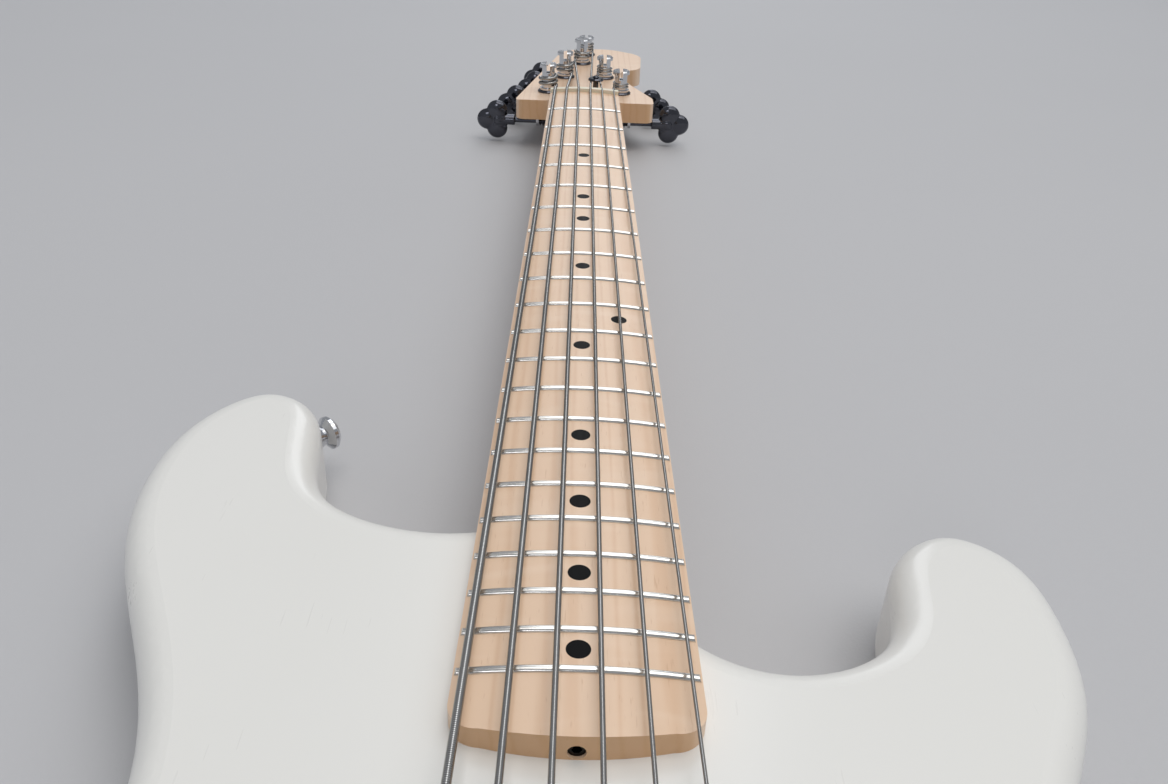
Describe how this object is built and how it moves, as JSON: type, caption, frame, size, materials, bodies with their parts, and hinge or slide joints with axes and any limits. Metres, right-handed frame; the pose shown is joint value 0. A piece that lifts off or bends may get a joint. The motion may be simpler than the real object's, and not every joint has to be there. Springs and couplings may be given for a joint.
{
  "type": "electric bass guitar",
  "caption": "Solid-body electric bass guitar lying on its back: bolt-on maple neck, wound strings, geared tuners, adjustable bridge saddles, pickups and control knobs.",
  "frame": {"origin": "on the flat back of the body, under the saddle line, on the middle line of the neck", "axes": "+X treble side, +Y from bridge to headstock, +Z out of the front of the body"},
  "size_m": [0.3361, 1.178, 0.063],
  "materials": {
    "body_lacquer": "gloss white lacquer over wood",
    "maple": "satin maple",
    "dark_wood": "oiled dark wood",
    "fret_wire": "polished nickel",
    "steel": "plain",
    "string_steel": "round wound",
    "chrome": "polished",
    "black_chrome": "dark polished",
    "black_inlay": "gloss",
    "black_plastic": "satin",
    "pale_nut": "satin",
    "lead_insulation": "matte"
  },
  "bodies": {
    "instrument": {"body": "body_lacquer", "neck": "maple", "frets": "fret_wire", "position_markers": "black_inlay", "truss_rod": "steel", "truss_rod_strip": "dark_wood", "nut": "pale_nut", "tuner_screws": "chrome", "string_retainer": "black_chrome", "neck_screws": "chrome", "tuner_bushings": "black_chrome", "tuner_plates": "chrome", "neck_ferrules": "chrome", "strap_buttons": "chrome", "output_jack": "chrome", "control_cover": "black_plastic", "bridge_plate": "chrome", "body_screws": "chrome", "potentiometers": "steel", "wiring": "lead_insulation", "string_1": "string_steel", "string_2": "string_steel", "string_3": "string_steel", "string_4": "string_steel", "string_5": "string_steel", "string_6": "string_steel"},
    "tuner_key_1_body": {"tuner_key_1": "black_chrome"},
    "tuner_post_1_body": {"tuner_post_1": "chrome"},
    "tuner_key_2_body": {"tuner_key_2": "black_chrome"},
    "tuner_post_2_body": {"tuner_post_2": "chrome"},
    "tuner_key_3_body": {"tuner_key_3": "black_chrome"},
    "tuner_post_3_body": {"tuner_post_3": "chrome"},
    "tuner_key_4_body": {"tuner_key_4": "black_chrome"},
    "tuner_post_4_body": {"tuner_post_4": "chrome"},
    "tuner_key_5_body": {"tuner_key_5": "black_chrome"},
    "tuner_post_5_body": {"tuner_post_5": "chrome"},
    "tuner_key_6_body": {"tuner_key_6": "black_chrome"},
    "tuner_post_6_body": {"tuner_post_6": "chrome"},
    "intonation_screw_1_body": {"intonation_screw_1": "chrome"},
    "saddle_1_body": {"saddle_1": "chrome"},
    "intonation_screw_2_body": {"intonation_screw_2": "chrome"},
    "saddle_2_body": {"saddle_2": "chrome"},
    "intonation_screw_3_body": {"intonation_screw_3": "chrome"},
    "saddle_3_body": {"saddle_3": "chrome"},
    "intonation_screw_4_body": {"intonation_screw_4": "chrome"},
    "saddle_4_body": {"saddle_4": "chrome"},
    "intonation_screw_5_body": {"intonation_screw_5": "chrome"},
    "saddle_5_body": {"saddle_5": "chrome"},
    "intonation_screw_6_body": {"intonation_screw_6": "chrome"},
    "saddle_6_body": {"saddle_6": "chrome"},
    "neck_volume_knob_body": {"neck_volume_knob": "chrome"},
    "bridge_volume_knob_body": {"bridge_volume_knob": "chrome"},
    "tone_knob_body": {"tone_knob": "chrome"},
    "neck_pickup_body": {"neck_pickup_cover": "black_plastic", "neck_pickup_core": "steel", "neck_pickup_screws": "chrome"},
    "bridge_pickup_body": {"bridge_pickup_cover": "black_plastic", "bridge_pickup_core": "steel", "bridge_pickup_screws": "chrome"},
    "truss_rod_nut_body": {"truss_rod_nut": "steel"}
  },
  "joints": [
    {"name": "tuner_key_1_turn", "type": "hinge", "parent": "instrument", "child": "tuner_key_1_body", "pos_m": [-0.03021, 0.90041, 0.0183], "axis": [1, 0, 0], "continuous": true},
    {"name": "tuner_post_1_turn", "type": "hinge", "parent": "instrument", "child": "tuner_post_1_body", "pos_m": [-0.03021, 0.91191, 0.04], "axis": [0, 0, 1], "continuous": true},
    {"name": "tuner_key_2_turn", "type": "hinge", "parent": "instrument", "child": "tuner_key_2_body", "pos_m": [-0.0171, 0.95044, 0.0183], "axis": [1, 0, 0], "continuous": true},
    {"name": "tuner_post_2_turn", "type": "hinge", "parent": "instrument", "child": "tuner_post_2_body", "pos_m": [-0.0171, 0.96194, 0.04], "axis": [0, 0, 1], "continuous": true},
    {"name": "tuner_key_3_turn", "type": "hinge", "parent": "instrument", "child": "tuner_key_3_body", "pos_m": [-0.00257, 1.0026, 0.0183], "axis": [1, 0, 0], "continuous": true},
    {"name": "tuner_post_3_turn", "type": "hinge", "parent": "instrument", "child": "tuner_post_3_body", "pos_m": [-0.00257, 1.0141, 0.04], "axis": [0, 0, 1], "continuous": true},
    {"name": "tuner_key_4_turn", "type": "hinge", "parent": "instrument", "child": "tuner_key_4_body", "pos_m": [0.00137, 1.03758, 0.0183], "axis": [1, 0, 0], "continuous": true},
    {"name": "tuner_post_4_turn", "type": "hinge", "parent": "instrument", "child": "tuner_post_4_body", "pos_m": [0.00137, 1.04908, 0.04], "axis": [0, 0, 1], "continuous": true},
    {"name": "tuner_key_5_turn", "type": "hinge", "parent": "instrument", "child": "tuner_key_5_body", "pos_m": [0.01767, 0.95256, 0.0183], "axis": [1, 0, 0], "continuous": true},
    {"name": "tuner_post_5_turn", "type": "hinge", "parent": "instrument", "child": "tuner_post_5_body", "pos_m": [0.01767, 0.96406, 0.04], "axis": [0, 0, 1], "continuous": true},
    {"name": "tuner_key_6_turn", "type": "hinge", "parent": "instrument", "child": "tuner_key_6_body", "pos_m": [0.0305, 0.90253, 0.0183], "axis": [1, 0, 0], "continuous": true},
    {"name": "tuner_post_6_turn", "type": "hinge", "parent": "instrument", "child": "tuner_post_6_body", "pos_m": [0.0305, 0.91403, 0.04], "axis": [0, 0, 1], "continuous": true},
    {"name": "intonation_screw_1_turn", "type": "hinge", "parent": "instrument", "child": "intonation_screw_1_body", "pos_m": [-0.03425, 0, 0.0497], "axis": [0, 1, 0], "range_deg": [-4115, 0]},
    {"name": "saddle_1_slide", "type": "slide", "parent": "instrument", "child": "saddle_1_body", "axis": [0, 1, 0], "range_m": [0, 0.008]},
    {"name": "intonation_screw_2_turn", "type": "hinge", "parent": "instrument", "child": "intonation_screw_2_body", "pos_m": [-0.02055, 0, 0.0497], "axis": [0, 1, 0], "range_deg": [-4115, 0]},
    {"name": "saddle_2_slide", "type": "slide", "parent": "instrument", "child": "saddle_2_body", "axis": [0, 1, 0], "range_m": [0, 0.008]},
    {"name": "intonation_screw_3_turn", "type": "hinge", "parent": "instrument", "child": "intonation_screw_3_body", "pos_m": [-0.00685, 0, 0.0497], "axis": [0, 1, 0], "range_deg": [-4115, 0]},
    {"name": "saddle_3_slide", "type": "slide", "parent": "instrument", "child": "saddle_3_body", "axis": [0, 1, 0], "range_m": [0, 0.008]},
    {"name": "intonation_screw_4_turn", "type": "hinge", "parent": "instrument", "child": "intonation_screw_4_body", "pos_m": [0.00685, 0, 0.0497], "axis": [0, 1, 0], "range_deg": [-4115, 0]},
    {"name": "saddle_4_slide", "type": "slide", "parent": "instrument", "child": "saddle_4_body", "axis": [0, 1, 0], "range_m": [0, 0.008]},
    {"name": "intonation_screw_5_turn", "type": "hinge", "parent": "instrument", "child": "intonation_screw_5_body", "pos_m": [0.02055, 0, 0.0497], "axis": [0, 1, 0], "range_deg": [-4115, 0]},
    {"name": "saddle_5_slide", "type": "slide", "parent": "instrument", "child": "saddle_5_body", "axis": [0, 1, 0], "range_m": [0, 0.008]},
    {"name": "intonation_screw_6_turn", "type": "hinge", "parent": "instrument", "child": "intonation_screw_6_body", "pos_m": [0.03425, 0, 0.0497], "axis": [0, 1, 0], "range_deg": [-4115, 0]},
    {"name": "saddle_6_slide", "type": "slide", "parent": "instrument", "child": "saddle_6_body", "axis": [0, 1, 0], "range_m": [0, 0.008]},
    {"name": "neck_volume_knob_turn", "type": "hinge", "parent": "instrument", "child": "neck_volume_knob_body", "pos_m": [0.08829, -0.03424, 0.044], "axis": [0, 0, 1], "range_deg": [0, 300]},
    {"name": "bridge_volume_knob_turn", "type": "hinge", "parent": "instrument", "child": "bridge_volume_knob_body", "pos_m": [0.11795, -0.00306, 0.044], "axis": [0, 0, 1], "range_deg": [0, 300]},
    {"name": "tone_knob_turn", "type": "hinge", "parent": "instrument", "child": "tone_knob_body", "pos_m": [0.13143, 0.0419, 0.044], "axis": [0, 0, 1], "range_deg": [0, 300]},
    {"name": "neck_pickup_height", "type": "slide", "parent": "instrument", "child": "neck_pickup_body", "axis": [0, 0, 1], "range_m": [-0.002, 0.002]},
    {"name": "bridge_pickup_height", "type": "slide", "parent": "instrument", "child": "bridge_pickup_body", "axis": [0, 0, 1], "range_m": [-0.002, 0.002]},
    {"name": "truss_rod_nut_turn", "type": "hinge", "parent": "instrument", "child": "truss_rod_nut_body", "pos_m": [0, 0.23387, 0.0468], "axis": [0, 1, 0], "range_deg": [-180, 180]}
  ],
  "couplings": [
    {"joint": "tuner_post_1_turn", "follows": "tuner_key_1_turn", "ratio": -0.05},
    {"joint": "tuner_post_2_turn", "follows": "tuner_key_2_turn", "ratio": -0.05},
    {"joint": "tuner_post_3_turn", "follows": "tuner_key_3_turn", "ratio": -0.05},
    {"joint": "tuner_post_4_turn", "follows": "tuner_key_4_turn", "ratio": -0.05},
    {"joint": "tuner_post_5_turn", "follows": "tuner_key_5_turn", "ratio": -0.05},
    {"joint": "tuner_post_6_turn", "follows": "tuner_key_6_turn", "ratio": -0.05},
    {"joint": "intonation_screw_1_turn", "follows": "saddle_1_slide", "rad_per_m": -8976},
    {"joint": "intonation_screw_2_turn", "follows": "saddle_2_slide", "rad_per_m": -8976},
    {"joint": "intonation_screw_3_turn", "follows": "saddle_3_slide", "rad_per_m": -8976},
    {"joint": "intonation_screw_4_turn", "follows": "saddle_4_slide", "rad_per_m": -8976},
    {"joint": "intonation_screw_5_turn", "follows": "saddle_5_slide", "rad_per_m": -8976},
    {"joint": "intonation_screw_6_turn", "follows": "saddle_6_slide", "rad_per_m": -8976}
  ]
}
